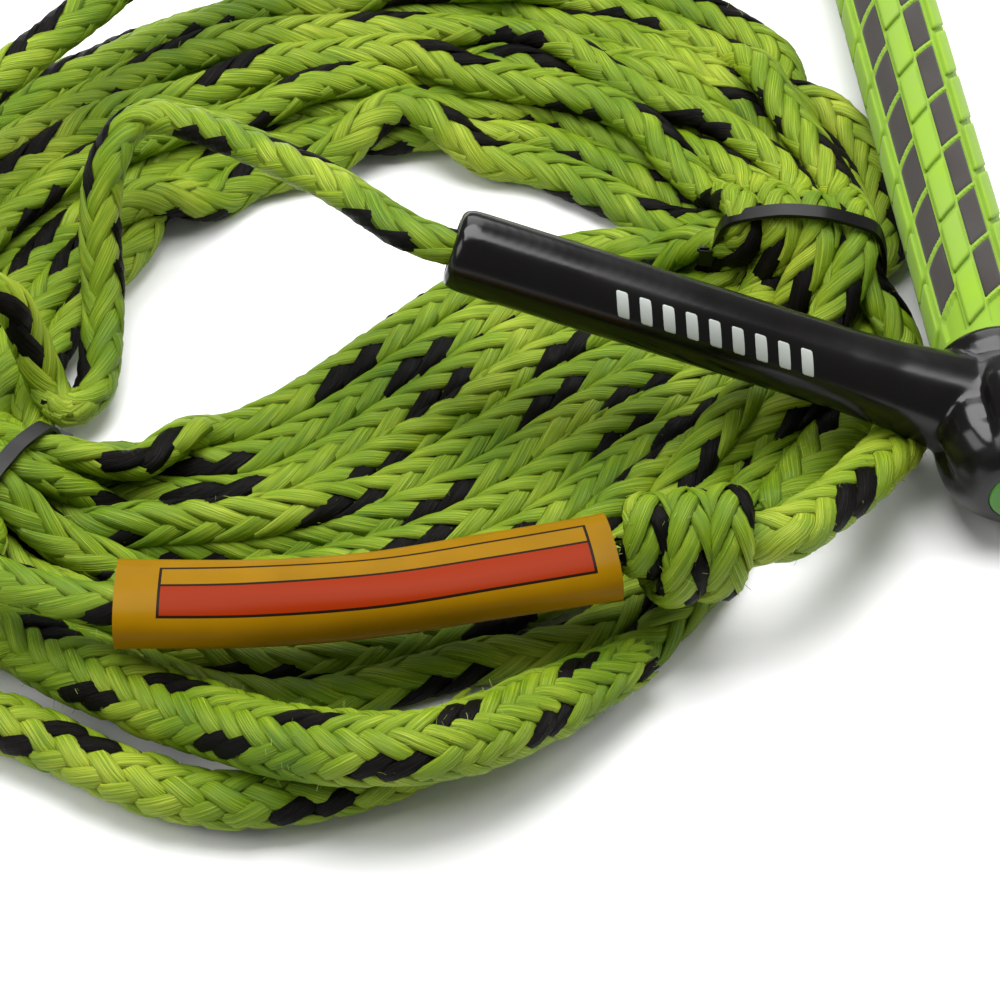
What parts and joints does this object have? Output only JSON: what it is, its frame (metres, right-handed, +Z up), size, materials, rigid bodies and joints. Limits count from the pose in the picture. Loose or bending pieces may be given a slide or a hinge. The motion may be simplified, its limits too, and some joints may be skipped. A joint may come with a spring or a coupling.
{
  "type": "tow rope handle",
  "caption": "Water-sports tow handle with foam grip, rope-guard arms and bridle, lying by its tied coil of hollow braid rope with label sleeve and end loop.",
  "frame": {"origin": "on the floor, under the middle of the handle (grip, corners and arms), where the corners' bulbs rest", "axes": "+Y along the grip bar, +Z up, the arms point towards -X"},
  "size_m": [0.367, 0.4069, 0.0703],
  "materials": {
    "bar_metal": "satin",
    "float_foam": "matte",
    "grip_black": "matte",
    "grip_green": "matte",
    "corner_plastic": "gloss",
    "insert_rubber": "satin",
    "rope": "satin",
    "label_vinyl": "satin",
    "tie_nylon": "satin"
  },
  "bodies": {
    "rope": {"main_line_coil": "rope", "grab_section": "rope", "splice_section": "rope", "bridle_leg_near": "rope", "bridle_leg_far": "rope", "label_lead": "rope", "boat_end_knot": "rope", "boat_end_loop": "rope", "tie_left": "tie_nylon", "tie_right": "tie_nylon"},
    "handle": {"bar_tube": "bar_metal", "bar_float_core": "float_foam", "grip_underlay": "grip_black", "grip_skin": "grip_green", "corner_near": "corner_plastic", "corner_far": "corner_plastic", "end_insert_near": "insert_rubber", "end_insert_far": "insert_rubber", "arm_rope_near": "rope", "arm_rope_far": "rope"},
    "label": {"label_sleeve": "label_vinyl"}
  },
  "joints": [
    {"name": "handle_swing", "type": "hinge", "parent": "rope", "child": "handle", "pos_m": [-0.08335, 0, 0.06], "axis": [0, -1, 0], "range_deg": [0, 60], "deforming": ["bridle_leg_near", "bridle_leg_far"]},
    {"name": "label_slide", "type": "slide", "parent": "rope", "child": "label", "axis": [-1, 0, 0], "range_m": [0, 0.008]}
  ]
}
